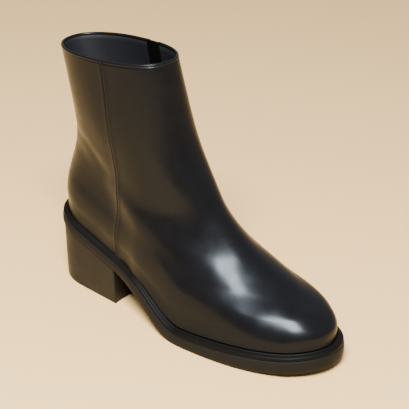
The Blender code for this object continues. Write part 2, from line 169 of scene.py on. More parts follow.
LEVELS = (
    Level(256.5, 21.0, 3.3, 63.0, 29.6, 44.5, 0.62, 0.12, 2.08, 1.0, 0.0),
    Level(256.2, 32.0, -0.8, 77.5, 31.6, 43.0, 0.63, 0.13, 2.22, 1.0, 1.5),
    Level(244.5, 40.6, -0.5, 89.5, 31.5, 40.8, 0.62, 0.15, 2.34, 0.8, 4.5),
    Level(222.0, 48.4, 1.6, 102.3, 30.0, 36.5, 0.55, 0.19, 2.08, 0.5, 5.5),
    Level(186.0, 66.3, 5.2, 115.8, 28.9, 33.6, 0.50, 0.26, 1.80, 0.2, 3.2),
    Level(159.5, 88.4, 7.0, 128.0, 29.0, 31.2, 0.47, 0.36, 1.88, 0.0, 1.2),
    Level(141.2, 114.7, 7.6, 141.9, 31.0, 31.8, 0.48, 0.44, 2.05, 0.0, 0.2),
    Level(121.6, 151.3, 4.2, 165.2, 32.0, 32.8, 0.49, 0.47, 2.20, 0.0, 0.0),
    Level(105.0, 212.6, -8.0, 200.5, 29.5, 29.0, 0.50, 0.50, 2.25, 0.0, 0.0),
)


@dataclass(frozen=True)
class Last:
    """The shape that the leather is drawn over, in millimetres, with X to the toe and Y to the inner side."""

    seat_height: float = 66.3
    seat_slope: float = 0.286
    seat_end: float = 99.0
    seat_deep: float = 12.0
    curl_height: float = 3.0
    curl_end: float = 28.0
    ball_x: float = 153.0
    ball_height: float = 13.0
    toe_x: float = 256.0
    toe_rise: float = 7.5
    toe_curve: float = 1.3
    waist_swing: float = 6.0
    toe_swing: float = 15.8
    swing_from: float = 100.0
    swing_span: float = 0.9
    under_end: float = 92.0
    flat_from: float = 149.0
    flat_to: float = 182.0
    spring_height: float = 5.0
    spring_curve: float = 1.5
    heel_closure: float = 2.2
    waist_from: float = 0.28
    skew_curve: int = 3
    flare_heel: float = 2.8
    flare_toe: float = 1.6
    flare_from: float = 105.0
    flare_to: float = 160.0
    top: int = len(LEVELS) - 1

    def seat_line(self, x: np.ndarray | float) -> np.ndarray:
        """Height of the heel seat's edge, which levels off towards the back."""
        curl = np.clip(1.0 - np.asarray(x, float) / self.curl_end, 0.0, 2.0)
        return self.seat_height - self.seat_slope * x - self.curl_height * curl**2

    def feather_height(self, x: np.ndarray) -> np.ndarray:
        """Height of the line where the leather meets the welt.

        Args:
            x: places along the last.

        Returns:
            Heights.
        """
        x = np.asarray(x, float)
        start = (self.seat_end, self.seat_line(self.seat_end), -self.seat_slope)
        arch = between(x, start, (self.ball_x, self.ball_height, 0.0))
        ahead = np.maximum(x - self.ball_x, 0.0) / (self.toe_x - self.ball_x)
        toe = self.ball_height + self.toe_rise * ahead**self.toe_curve
        return np.where(x < self.seat_end, self.seat_line(x), np.where(x < self.ball_x, arch, toe))

    def ground_height(self, x: np.ndarray) -> np.ndarray:
        """Height of the outsole's underside.

        Args:
            x: places along the last.

        Returns:
            Heights.
        """
        x = np.asarray(x, float)
        start = (self.under_end, self.seat_line(self.under_end) - self.seat_deep, -self.seat_slope)
        arch = between(x, start, (self.flat_from, 0.0, 0.0))
        ahead = np.maximum(x - self.flat_to, 0.0) / (self.toe_x - self.flat_to)
        toe = self.spring_height * ahead**self.spring_curve
        seat = self.seat_line(x) - self.seat_deep
        return np.where(x < self.under_end, seat, np.where(x < self.flat_from, arch, toe))

    def centre_line(self, x: np.ndarray) -> np.ndarray:
        """Sideways swing towards the inner side.

        Args:
            x: places along the last.

        Returns:
            Distances.
        """
        share = np.clip((np.asarray(x, float) - self.swing_from) / (self.toe_x - self.swing_from), 0.0, 1.1)
        waist = self.waist_swing * np.sin(pi * np.clip(share / self.swing_span, 0.0, 1.0))
        return waist + self.toe_swing * share**2

    def level_at(self, v: float) -> Level:
        """The table of levels read at any height, with a smooth curve through its rows.

        Args:
            v: level, whole or between two rows.

        Returns:
            The level there.
        """
        table = np.array([level.row() for level in LEVELS])
        i = min(int(v), self.top - 1)
        t = v - i
        here, after = table[i], table[i + 1]
        before = table[i - 1] if i > 0 else 2 * here - after
        beyond = table[i + 2] if i + 2 <= self.top else 2 * after - here
        bend = 2 * before - 5 * here + 4 * after - beyond
        curl = 3 * here - before - 3 * after + beyond
        return Level(*(0.5 * (2 * here + (after - before) * t + bend * t**2 + curl * t**3)))

    def half_width(self, level: Level, s: np.ndarray) -> np.ndarray:
        """Half width of a level at shares of its length from back to front.

        Args:
            level: the level.
            s: shares of its length.

        Returns:
            Half widths.
        """
        swell = smooth((s - self.waist_from) / (level.broad_at - self.waist_from))
        width = level.heel_half + (level.ball_half - level.heel_half) * swell
        back = np.clip(1.0 - s / level.heel_round, 0.0, 1.0) ** self.heel_closure
        front = np.clip((s - level.broad_at) / (1.0 - level.broad_at), 0.0, 1.0) ** level.toe_round
        closed = (1.0 - back) ** (1.0 / self.heel_closure)
        return width * closed * (1.0 - front) ** (1.0 / level.toe_round)

    def skin(self, v: float, s: np.ndarray, side: Side) -> np.ndarray:
        """Points on the outside at one level.

        Args:
            v: level, from nought at the welt to the top level at the collar.
            s: shares of the level's length from back to front.
            side: side of the foot.

        Returns:
            Points, one to a row.
        """
        level = self.level_at(v)
        s = np.asarray(s, float)
        x = level.back_x + (level.front_x - level.back_x) * s
        ends = self.feather_height(np.array([level.back_x, level.front_x]))
        sag = self.feather_height(x) - (ends[0] + (ends[1] - ends[0]) * s)
        z = level.back_z + (level.front_z - level.back_z) * s + np.clip(level.follow, 0.0, 1.0) * sag
        if v <= 0.0:
            z = self.feather_height(x)
        middle = self.centre_line(x) + level.skew * np.clip(s, 0.0, 1.0) ** self.skew_curve
        y = middle + side.value * self.half_width(level, s)
        return np.stack([x, y, z], axis=-1)

    def point(self, v: float, share: float, side: Side) -> np.ndarray:
        """One point on the outside."""
        return self.skin(v, np.array([share]), side)[0]

    def foot_flare(self, x: np.ndarray) -> np.ndarray:
        """How far the leather's foot stands out over the welt."""
        ahead = smooth((x - self.flare_from) / (self.flare_to - self.flare_from))
        return self.flare_heel + (self.flare_toe - self.flare_heel) * ahead

    def share_of_x(self, v: float, x: float) -> float:
        """The share of a level's length at a given x."""
        level = self.level_at(v)
        return (x - level.back_x) / (level.front_x - level.back_x)

    def length_of(self, v: float) -> float:
        """A level's length along x."""
        level = self.level_at(v)
        return level.front_x - level.back_x

    def outline(self, out: float, columns: int) -> list[np.ndarray]:
        """The feather line moved outwards in plan.

        Args:
            out: distance outwards.
            columns: points to a side.

        Returns:
            The outer and the inner side, each from back to front.
        """
        s = 0.5 * (1.0 - np.cos(np.linspace(0.0, pi, columns)))
        sides = []
        for side in Side:
            line = self.skin(0.0, s, side)[:, :2]
            run = np.gradient(line, axis=0)
            run[0], run[-1] = (0.0, side.value), (0.0, -side.value)
            across = side.value * np.stack([-run[:, 1], run[:, 0]], axis=1)
            sides.append(line + out * unit(across))
        return sides

    def rim(self, out: float, columns: int) -> np.ndarray:
        """The moved feather line as one closed loop in plan."""
        sides = self.outline(out, columns)
        return np.concatenate([sides[0], sides[1][-2:0:-1]])


@dataclass(frozen=True)
class Crease:
    """A soft trough along a path on one side of the leather, with a low ridge beside it.

    The path holds levels and shares of their length from the back. The crease fades towards its tips.
    """

    side: Side
    path: tuple[tuple[float, float], ...]
    depth: float = 0.45
    width: float = 4.5
    ridge: float = 0.1
    ridge_out: float = 2.0
    tip: float = 0.08

    def height(self, last: Last, points: np.ndarray) -> np.ndarray:
        """Rise of the leather at each point.

        Args:
            last: the last.
            points: points on the leather, one to a row.

        Returns:
            Heights, below nought in the trough.
        """
        knots = np.array([last.point(level, share, self.side) for level, share in self.path])
        count = len(knots) - 1
        best = np.full(len(points), np.inf)
        along = np.zeros(len(points))
        for i in range(count):
            step = knots[i + 1] - knots[i]
            t = np.clip((points - knots[i]) @ step / (step @ step), 0.0, 1.0)
            d = np.linalg.norm(points - knots[i] - t[:, None] * step, axis=1)
            near = d < best
            best = np.where(near, d, best)
            along = np.where(near, (i + t) / count, along)
        fade = np.sqrt(np.sin(pi * (self.tip + (1.0 - 2.0 * self.tip) * along)))
        trough = -self.depth * bump(best, 0.0, self.width)
        return fade * (trough + self.ridge * bump(best, self.ridge_out * self.width, self.width))


@dataclass(frozen=True)
class Swells:
    """Soft rises, or hollows where they are below nought, round places on one side of the leather.

    Each place holds its level, its share of the level's length from the back, and its rise.
    """

    side: Side
    width: float
    places: tuple[tuple[float, float, float], ...]

    def height(self, last: Last, points: np.ndarray) -> np.ndarray:
        """Rise of the leather at each point.

        Args:
            last: the last.
            points: points on the leather, one to a row.

        Returns:
            Heights.
        """
        total = np.zeros(len(points))
        for level, share, rise in self.places:
            away = np.linalg.norm(points - last.point(level, share, self.side), axis=1)
            total += rise * bump(away, 0.0, self.width)
        return total


def grid_faces(rows: int, columns: int, skip: Iterable[tuple[int, int]] = ()) -> Faces:
    """Quads between rows of points that close on themselves.

    Args:
        rows: number of rows.
        columns: points to a row.
        skip: row and column of quads to leave out.

    Returns:
        Faces as point numbers.
    """
    left_out = set(skip)
    faces = []
    for r in range(rows - 1):
        a, b = r * columns, (r + 1) * columns
        for c in range(columns):
            if (r, c) not in left_out:
                d = (c + 1) % columns
                faces.append((a + c, a + d, b + d, b + c))
    return faces


def cap_faces(first: int, columns: int) -> Faces:
    """Quads across a loop made of two sides with like columns, with a triangle at each end.

    Args:
        first: number of the loop's first point.
        columns: points to the loop.

    Returns:
        Faces as point numbers.
    """
    half = columns // 2
    faces: Faces = [(first, first + 1, first + columns - 1)]
    for c in range(1, half - 1):
        faces.append((first + c, first + c + 1, first + columns - c - 1, first + columns - c))
    faces.append((first + half - 1, first + half, first + half + 1))
    return faces


def end_faces(rows: int, columns: int) -> Faces:
    """One face across the first and one across the last of some closed rows."""
    last = columns * (rows - 1)
    return [tuple(range(columns - 1, -1, -1)), tuple(range(last, last + columns))]


def reversed_faces(faces: Faces) -> Faces:
    """The same faces turned round."""
    return [tuple(reversed(face)) for face in faces]


def moved_faces(faces: Faces, start: int) -> Faces:
    """The same faces on points that start at another number."""
    return [tuple(start + i for i in face) for face in faces]


def grid_normals(grid: np.ndarray) -> np.ndarray:
    """Outward directions of a grid of closed rows."""
    along = np.roll(grid, -1, axis=1) - np.roll(grid, 1, axis=1)
    return unit(np.cross(along, np.gradient(grid, axis=0)))


class Shader:
    """Small helper that adds nodes to a node tree."""

    def __init__(self, tree: Tree) -> None:
        """Keeps the tree."""
        self.tree = tree

    def fill(self, node: Node, inputs: dict[str | int, object]) -> None:
        """Fills a node's inputs: sockets are linked, colours made opaque and numbers set.

        Args:
            node: the node.
            inputs: what each input gets, by its name or number.
        """
        for name, value in inputs.items():
            if isinstance(value, Socket):
                self.tree.links.new(value, node.inputs[name])
            else:
                node.inputs[name].default_value = (*value, 1.0) if isinstance(value, tuple) else value

    def node(self, kind: str, inputs: dict[str | int, object] | None = None, **settings: object) -> Node:
        """Adds a node.

        Args:
            kind: node type.
            inputs: what its inputs get.
            settings: attributes to set on it first.

        Returns:
            The node.
        """
        made = self.tree.nodes.new(kind)
        for name, value in settings.items():
            setattr(made, name, value)
        self.fill(made, inputs or {})
        return made

    def place(self, kind: str) -> Socket:
        """Adds texture coordinates and returns those of one kind."""
        return self.node("ShaderNodeTexCoord").outputs[kind]

    def noise(self, at: Socket, scale: float | Socket, detail: float) -> Socket:
        """Adds noise and returns its value."""
        return self.node("ShaderNodeTexNoise", {"Vector": at, "Scale": scale, "Detail": detail}).outputs[0]

    def ranged(self, value: Socket, low: float, high: float, to: Sequence[float]) -> Socket:
        """Maps a varying value from one range to another and returns it."""
        ends = {"From Min": low, "From Max": high, "To Min": to[0], "To Max": to[1]}
        return self.node("ShaderNodeMapRange", {"Value": value, **ends}).outputs[0]

    def maths(self, kind: str, first: Socket, second: Socket) -> Socket:
        """Combines two varying values and returns the result."""
        return self.node("ShaderNodeMath", {0: first, 1: second}, operation=kind).outputs[0]

    def blend(self, share: Socket, first: Colour, second: Colour | Socket) -> Socket:
        """Blends two colours by a varying share and returns the result."""
        inputs = {0: share, MIX_FIRST: first, MIX_SECOND: second}
        return self.node("ShaderNodeMix", inputs, data_type="RGBA").outputs[MIX_RESULT]


class Effects:
    """Shader node groups that several finishes share."""

    FINE_DETAIL = 4.0
    MOTTLE_DETAIL = 2.0
    SPECK_DETAIL = 6.0
    SPECKS = (0.5, 0.72)
    PATCH_SCALE = 28.0
    PATCH_DETAIL = 3.0
    PATCHES = (0.42, 0.7)
    THREAD_WAVER = 0.6

    def __init__(self) -> None:
        """Builds the groups."""
        self.grain = self._grain()
        self.dust = self._dust()
        self.weave = self._weave()

    @staticmethod
    def _start(name: str, inputs: Sequence[str], outputs: Sequence[str]) -> tuple[Shader, Node, Node]:
        """Begins a group with named value sockets.

        Args:
            name: group name.
            inputs: names of its input values.
            outputs: names of its output values.

        Returns:
            Its helper, input node and output node.
        """
        tree = bpy.data.node_groups.new(name, "ShaderNodeTree")
        for way, labels in (("INPUT", inputs), ("OUTPUT", outputs)):
            for label in labels:
                tree.interface.new_socket(label, in_out=way, socket_type="NodeSocketFloat")
        helper = Shader(tree)
        return helper, helper.node("NodeGroupInput"), helper.node("NodeGroupOutput")

    def _grain(self) -> Tree:
        """Pebbled grain: a height of small cells on soft waves, and a slow mottle.

        Returns:
            The group.
        """
        helper, start, end = self._start("grain", ("Scale", "Mottle Scale"), ("Height", "Mottle"))
        at, scale = helper.place("Object"), start.outputs["Scale"]
        cells = helper.node("ShaderNodeTexVoronoi", {"Vector": at, "Scale": scale}, feature="SMOOTH_F1")
        fine = helper.noise(at, scale, self.FINE_DETAIL)
        slow = helper.noise(at, start.outputs["Mottle Scale"], self.MOTTLE_DETAIL)
        helper.fill(end, {"Height": helper.maths("ADD", cells.outputs["Distance"], fine), "Mottle": slow})
        return helper.tree

    def _dust(self) -> Tree:
        """Faint dust and scuffs: patches of fine specks.

        Returns:
            The group.
        """
        helper, start, end = self._start("dust", ("Scale",), ("Mask",))
        at = helper.place("Object")
        specks = helper.noise(at, start.outputs["Scale"], self.SPECK_DETAIL)
        patches = helper.noise(at, self.PATCH_SCALE, self.PATCH_DETAIL)
        sharp = helper.ranged(specks, *self.SPECKS, (0.0, 1.0))
        broad = helper.ranged(patches, *self.PATCHES, (0.0, 1.0))
        helper.fill(end, {"Mask": helper.maths("MULTIPLY", sharp, broad)})
        return helper.tree

    def _weave(self) -> Tree:
        """Cloth threads: two sets of fine waves across each other.

        Returns:
            The group.
        """
        helper, start, end = self._start("weave", ("Scale",), ("Height",))
        at, scale = helper.place("Object"), start.outputs["Scale"]
        inputs = {"Distortion": self.THREAD_WAVER, "Vector": at, "Scale": scale}
        sets = [helper.node("ShaderNodeTexWave", inputs, bands_direction=way).outputs["Fac"] for way in ("X", "Z")]
        helper.fill(end, {"Height": helper.maths("MAXIMUM", *sets)})
        return helper.tree


@dataclass(frozen=True)
class Finish:
    """A grained finish with faint dust: leather, lining, rubber, thread or metal."""

    MOTTLE_RANGE = (0.3, 0.7)

    name: str
    colour: Colour
    worn: Colour
    roughness: tuple[float, float]
    metallic: float = 0.0
    specular: float = 0.3
    tint: Colour = (1.0, 1.0, 1.0)
    coat: float = 0.0
    coat_roughness: float = 0.2
    grain_scale: float = 1400.0
    mottle_scale: float = 60.0
    relief: float = 0.1
    relief_mm: float = 0.1
    dust_scale: float = 900.0

    def build(self, effects: Effects) -> bpy.types.Material:
        """Makes the material.

        Args:
            effects: shared node groups.

        Returns:
            The material.
        """
        material = bpy.data.materials.new(self.name)
        material.use_nodes = True
        helper = Shader(material.node_tree)
        height, mottle = self.surface(helper, effects)
        bumps = {"Strength": self.relief, "Distance": self.relief_mm * MM, "Height": height}
        relief = helper.node("ShaderNodeBump", bumps).outputs["Normal"]
        dust = helper.node("ShaderNodeGroup", {"Scale": self.dust_scale}, node_tree=effects.dust)
        helper.fill(material.node_tree.nodes["Principled BSDF"], {
            "Base Color": helper.blend(dust.outputs["Mask"], self.colour, self.worn),
            "Roughness": helper.ranged(mottle, *self.MOTTLE_RANGE, self.roughness),
            "Metallic": self.metallic,
            "Specular IOR Level": self.specular,
            "Specular Tint": self.tint,
            "Coat Weight": self.coat,
            "Coat Roughness": self.coat_roughness,
            "Normal": relief,
            "Coat Normal": relief,
        })
        return material

    def surface(self, helper: Shader, effects: Effects) -> tuple[Socket, Socket]:
        """Adds the relief.

        Args:
            helper: helper of the material's tree.
            effects: shared node groups.

        Returns:
            The height and the slow mottle.
        """
        scales = {"Scale": self.grain_scale, "Mottle Scale": self.mottle_scale}
        grain = helper.node("ShaderNodeGroup", scales, node_tree=effects.grain)
        return grain.outputs["Height"], grain.outputs["Mottle"]


@dataclass(frozen=True)
class Cloth(Finish):
    """A woven finish."""

    thread_scale: float = 900.0

    def surface(self, helper: Shader, effects: Effects) -> tuple[Socket, Socket]:
        """Adds threads in place of grain and returns their height and the slow mottle."""
        weave = helper.node("ShaderNodeGroup", {"Scale": self.thread_scale}, node_tree=effects.weave)
        return weave.outputs["Height"], super().surface(helper, effects)[1]


LEATHER = Finish(
    "black_leather", (0.0043, 0.0043, 0.0050), (0.0057, 0.0057, 0.0066), (0.24, 0.34),
    specular=0.16, tint=(0.70, 0.84, 1.0), coat=0.04, coat_roughness=0.16,
    grain_scale=1500.0, mottle_scale=70.0, relief=0.10, relief_mm=0.12,
)
LINING = Finish(
    "navy_lining", (0.007, 0.0075, 0.0095), (0.010, 0.0105, 0.0125), (0.55, 0.7), specular=0.2,
    grain_scale=2200.0, relief=0.15,
)
WELT_RUBBER = Finish(
    "welt_rubber", (0.004, 0.0039, 0.0037), (0.008, 0.0077, 0.0072), (0.40, 0.52),
    specular=0.06, tint=(0.8, 0.9, 1.0), relief=0.08, grain_scale=2600.0,
)
SOLE_RUBBER = Finish(
    "sole_rubber", (0.0082, 0.008, 0.0072), (0.014, 0.0134, 0.012), (0.52, 0.64),
    specular=0.10, tint=(0.8, 0.9, 1.0), relief=0.12, grain_scale=3000.0,
)
HEEL_RUBBER = Finish(
    "heel_rubber", (0.0125, 0.0115, 0.010), (0.020, 0.0185, 0.016), (0.48, 0.60),
    specular=0.15, tint=(0.8, 0.9, 1.0), relief=0.10, grain_scale=3000.0,
)
FOOTBED = Finish(
    "footbed", (0.012, 0.014, 0.022), (0.02, 0.02, 0.026), (0.6, 0.75), relief=0.12, grain_scale=1800.0,
)
ZIP_CLOTH = Cloth(
    "zip_cloth", (0.0016, 0.0016, 0.0015), (0.0035, 0.0035, 0.0033), (0.8, 0.95), specular=0.04,
    relief=0.4, relief_mm=0.15,
)
ZIP_TEETH = Finish(
    "zip_teeth", (0.016, 0.016, 0.017), (0.03, 0.03, 0.03), (0.3, 0.42), relief=0.05,
)
DARK_METAL = Finish(
    "dark_metal", (0.11, 0.11, 0.115), (0.06, 0.058, 0.055), (0.26, 0.38), metallic=1.0, relief=0.04,
)
THREAD = Finish(
    "thread", (0.010, 0.0095, 0.009), (0.016, 0.015, 0.014), (0.5, 0.65), relief=0.2, grain_scale=4000.0,
)


class Bench:
    """Where pieces are made: it places them in the shared frame and gives them finishes."""

    SOLE_OUT = 7.8
    PLAN_COLUMNS = 200

    def __init__(self, frame: dict, last: Last) -> None:
        """Finds where the last stands in the shared frame, by the outsole's plan.

        Args:
            frame: what the loader returned.
            last: the last.
        """
        self.nodes = frame["nodes"]
        low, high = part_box("outsole")
        plan = last.rim(self.SOLE_OUT, self.PLAN_COLUMNS)
        middle = 0.5 * (plan.min(axis=0) + plan.max(axis=0)) * MM
        self.shift = np.array([0.5 * (low[i] + high[i]) - middle[i] for i in range(2)] + [0.0])
        self.effects = Effects()
        self.made: dict[str, bpy.types.Material] = {}

    def material(self, finish: Finish) -> bpy.types.Material:
        """The finish's material, made once.

        Args:
            finish: the finish.

        Returns:
            The material.
        """
        if finish.name not in self.made:
            self.made[finish.name] = finish.build(self.effects)
        return self.made[finish.name]

    def piece(
        self, name: str, points: np.ndarray, faces: Faces, finish: Finish, slot: Slot, stands_for: str = "",
    ) -> bpy.types.Object:
        """Makes one piece.

        Args:
            name: piece name.
            points: points in millimetres on the last.
            faces: faces as point numbers.
            finish: its finish.
            slot: the record's slot for it; not used.
            stands_for: node that it is shown in place of, if any.

        Returns:
            The piece.
        """
        mesh = bpy.data.meshes.new(name)
        mesh.from_pydata((np.asarray(points) * MM + self.shift).tolist(), [], faces)
        mesh.polygons.foreach_set("use_smooth", np.ones(len(mesh.polygons), bool))
        mesh.materials.append(self.material(finish))
        mesh.update()
        piece = bpy.data.objects.new(name, mesh)
        bpy.context.scene.collection.objects.link(piece)
        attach(piece, BODY)
        if stands_for:
            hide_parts(stands_for)
        LOG.info("%s: %d faces", name, len(faces))
        return piece

    def dress(self, node: str, finish: Finish) -> None:
        """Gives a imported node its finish.

        Args:
            node: node name.
            finish: its finish.
        """
        mesh = self.nodes[node].data
        mesh.materials.clear()
        mesh.materials.append(self.material(finish))


@dataclass(frozen=True)
class Stitching:
    """A row of stitches, each a small spindle that dips into the leather at its ends."""

    pitch: float = 2.6
    long: float = 1.9
    radius: float = 0.26
    around: int = 6
    dip: float = 0.9
    reach: float = 0.5
    girths: tuple[tuple[float, float], ...] = ((-0.5, 0.35), (-0.3, 0.9), (0.0, 1.0), (0.3, 0.9), (0.5, 0.35))

    def sew(self, path: np.ndarray, out: np.ndarray, points: list[np.ndarray], faces: Faces) -> None:
        """Adds stitches along a path.

        Args:
            path: points of the path.
            out: directions out of the leather at those points.
            points: list that takes the points.
            faces: list that takes the faces.
        """
        run = run_along(path)
        turns = np.linspace(0.0, 2.0 * pi, self.around, endpoint=False)[:, None]
        block = grid_faces(len(self.girths), self.around) + end_faces(len(self.girths), self.around)
        for middle in np.arange(self.pitch, run[-1] - self.pitch, self.pitch):
            away = read_at(middle, run, out)
            ahead = read_at(middle + self.reach, run, path) - read_at(middle - self.reach, run, path)
            circle = np.cos(turns) * unit(np.cross(ahead, away)) + np.sin(turns) * away
            rings = []
            for share, girth in self.girths:
                sunk = self.dip * self.radius * (2.0 * share) ** 2
                at = read_at(middle + share * self.long, run, path) - sunk * away
                rings.append(at + self.radius * girth * circle)
            faces += moved_faces(block, sum(len(made) for made in points))
            points.append(np.concatenate(rings))


@dataclass
class Upper:
    """The leather, its lining, folded collar edge and stitches.

    The seam's and the zip's line each hold their x at the foot and at the top, and how late they bend. A bump of the
    seam holds its rise, its place ahead of the seam and its width.
    """

    last: Last
    bench: Bench
    rows_to_level: int = 16
    back_columns: int = 40
    front_columns: int = 68
    leather_thick: float = 0.9
    lining_gap: float = 0.02
    lining_step: int = 2
    wall: float = 1.8
    seam_line: tuple[float, float, float] = (77.0, 58.0, 7.0)
    zip_line: tuple[float, float, float] = (91.5, 60.0, 1.5)
    zip_foot_level: float = 2.0 / 3.0
    slot_width: float = 2.7
    slot_flare: float = 3.0
    slot_flare_levels: float = 0.45
    stitching: Stitching = Stitching()
    stitch_out: float = 3.2
    stitch_lift: float = 0.05
    foot_flare_levels: float = 0.9
    foot_flare_curve: float = 1.5
    fold_half: float = 1.15
    fold_tall: float = 1.5
    fold_drop: float = 0.9
    fold_around: int = 12
    seam_ahead: tuple[float, ...] = (
        -6.0, -3.5, -2.2, -1.5, -1.0, -0.6, -0.3, 0.0, 0.3, 0.6, 1.0, 1.5, 2.2, 3.5, 6.0,
    )
    seam_bumps: tuple[tuple[float, float, float], ...] = ((-0.8, 0.0, 0.5), (0.5, 1.5, 1.5), (0.22, -1.4, 1.0))
    lip_out: tuple[float, ...] = (0.0, 0.2, 0.5, 1.0, 1.7, 2.4, 2.8, 3.2, 3.6, 4.2, 6.0)
    lip_rise: tuple[float, ...] = (-0.55, -0.2, 0.08, 0.26, 0.32, 0.24, 0.04, -0.1, 0.0, 0.05, 0.0)
    creases: tuple[Crease, ...] = (
        Crease(Side.OUTER, ((6.0, 0.06), (5.82, 0.12), (5.82, 0.223), (5.42, 0.298), (4.94, 0.353))),
        Crease(Side.INNER, ((6.0, 0.06), (5.82, 0.12), (5.7, 0.22), (5.3, 0.30))),
    )
    toe_swells: Swells = Swells(Side.OUTER, 11.0, (
        (1.3, 0.93, -1.2), (1.75, 0.90, -0.8), (1.8, 0.97, -0.4), (2.2, 0.86, -0.8), (2.25, 0.935, -0.2),
        (2.3, 0.99, 1.3), (2.65, 0.90, 0.4), (2.7, 0.96, 1.2), (3.4, 0.93, -0.6), (3.8, 0.90, -0.3),
    ))
    flank_swells: Swells = Swells(Side.OUTER, 16.0, (
        (0.9, 0.14, 0.8), (0.9, 0.27, 1.4), (0.9, 0.40, 1.7), (0.9, 0.53, 1.3), (1.8, 0.20, 1.0), (1.8, 0.33, 1.3),
        (1.8, 0.46, 1.3), (3.0, 0.14, -0.4), (3.0, 0.27, -0.3), (3.0, 0.55, -0.8), (4.2, 0.22, -0.8),
        (5.3, 0.40, -0.8),
    ))
    grid: np.ndarray = field(init=False)
    normals: np.ndarray = field(init=False)
    heights: np.ndarray = field(init=False)
    rise: np.ndarray = field(init=False)
    slot_column: int = field(init=False)

    def __post_init__(self) -> None:
        """Lays out the grid of points on the last and the leather's rise over it."""
        self.heights = np.linspace(0.0, self.last.top, self.last.top * self.rows_to_level + 1)
        rows, rises = [], []
        for v in self.heights:
            outer, outer_rise = self.outer_row(v)
            inner, inner_rise = self.inner_row(v)
            rows.append(np.concatenate([outer, inner[-2:0:-1]]))
            rises.append(np.concatenate([outer_rise, inner_rise[-2:0:-1]]))
        self.slot_column = len(outer) + self.front_columns + len(self.lip_out) - 2
        self.grid = np.array(rows)
        self.normals = grid_normals(self.grid)
        flat = self.grid.reshape(-1, 3)
        shapes = (*self.creases, self.toe_swells, self.flank_swells)
        folds = sum(shape.height(self.last, flat) for shape in shapes)
        near_welt = np.clip(1.0 - self.heights / self.foot_flare_levels, 0.0, 1.0) ** self.foot_flare_curve
        flare = near_welt[:, None] * self.last.foot_flare(self.grid[..., 0])
        self.grid = self.grid + (folds.reshape(flare.shape) + flare)[..., None] * self.normals
        self.rise = np.array(rises)

    def crossing(self, v: float, line: tuple[float, float, float]) -> float:
        """The share of a level's length where the seam's or the zip's line crosses it."""
        foot, top, bend = line
        return self.last.share_of_x(v, foot + (top - foot) * (v / self.last.top) ** bend)

    def slot_half(self, v: float) -> float:
        """Half width of the zip's slot, which flares at the collar."""
        flare = smooth((v - self.last.top + self.slot_flare_levels) / self.slot_flare_levels)
        return self.slot_width + self.slot_flare * float(flare)

    def lip_places(self, v: float) -> np.ndarray:
        """Distances of the lips' columns ahead of the zip's middle at one level."""
        lip = self.slot_half(v) + np.array(self.lip_out)
        return np.concatenate([-lip[::-1], lip])

    def row(self, v: float, middle: np.ndarray, rise: np.ndarray, side: Side) -> tuple[np.ndarray, np.ndarray]:
        """One side at one level, with columns close together at its ends.

        Args:
            v: level.
            middle: shares of the level's length at the seam or the zip.
            rise: the leather's rise at those shares.
            side: side of the foot.

        Returns:
            Points from back to front, and the leather's rise at each.
        """
        back = middle[0] * (1.0 - np.cos(0.5 * pi * np.arange(self.back_columns) / self.back_columns))
        count = np.arange(1, self.front_columns + 1) / self.front_columns
        front = middle[-1] + (1.0 - middle[-1]) * np.sin(0.5 * pi * count)
        rises = np.concatenate([0.0 * back, rise, 0.0 * front])
        return self.last.skin(v, np.concatenate([back, middle, front]), side), rises

    def outer_row(self, v: float) -> tuple[np.ndarray, np.ndarray]:
        """The outer side at one level, with the seam's groove and lips.

        Args:
            v: level.

        Returns:
            Points from back to front, and the leather's rise at each.
        """
        ahead = np.array(self.seam_ahead)
        middle = self.crossing(v, self.seam_line) + ahead / self.last.length_of(v)
        rise = sum(tall * bump(ahead, at, width) for tall, at, width in self.seam_bumps)
        return self.row(v, middle, rise, Side.OUTER)

    def inner_row(self, v: float) -> tuple[np.ndarray, np.ndarray]:
        """The inner side at one level, with the zip's two lips, as points and rises from back to front."""
        middle = self.crossing(v, self.zip_line) + self.lip_places(v) / self.last.length_of(v)
        return self.row(v, middle, np.concatenate([self.lip_rise[::-1], self.lip_rise]), Side.INNER)

    def shell(self, rows: Sequence[int], outer: np.ndarray, inner: np.ndarray) -> tuple[np.ndarray, Faces]:
        """A closed shell between two grids, open along the zip's slot.

        Args:
            rows: rows of the grid to use.
            outer: outer points.
            inner: inner points.

        Returns:
            Points and faces.
        """
        count, columns = len(rows), outer.shape[1]
        slot_rows = [r for r in range(count - 1) if self.heights[rows[r]] >= self.zip_foot_level]
        skip = {(r, self.slot_column) for r in slot_rows}
        sheet = grid_faces(count, columns, skip)
        total = count * columns
        inside = [tuple(total + i for i in face) for face in reversed_faces(sheet)]
        rims: Faces = []
        top = (count - 1) * columns
        for c in range(columns):
            d = (c + 1) % columns
            rims.append((d, c, total + c, total + d))
            if c != self.slot_column:
                rims.append((top + c, top + d, total + top + d, total + top + c))
        left, right = self.slot_column, self.slot_column + 1
        for r in slot_rows:
            a, b = r * columns, (r + 1) * columns
            rims.append((a + left, b + left, total + b + left, total + a + left))
            rims.append((b + right, a + right, total + a + right, total + b + right))
        foot = slot_rows[0] * columns
        rims.append((foot + left, foot + right, total + foot + right, total + foot + left))
        points = np.concatenate([outer[rows].reshape(-1, 3), inner[rows].reshape(-1, 3)])
        return points, sheet + inside + rims

    def build_leather(self) -> None:
        """The leather outside."""
        outer = self.grid + self.rise[..., None] * self.normals
        inner = self.grid - self.leather_thick * self.normals
        points, faces = self.shell(range(len(self.heights)), outer, inner)
        self.bench.piece("upper_leather", points, faces, LEATHER, Slot.LEATHER, "upper")

    def build_lining(self) -> None:
        """The lining inside."""
        rows = list(range(0, len(self.heights), self.lining_step))
        outer = self.grid - (self.leather_thick + self.lining_gap) * self.normals
        inner = self.grid - self.wall * self.normals
        points, faces = self.shell(rows, outer, inner)
        self.bench.piece("upper_lining", points, faces, LINING, Slot.LEATHER)

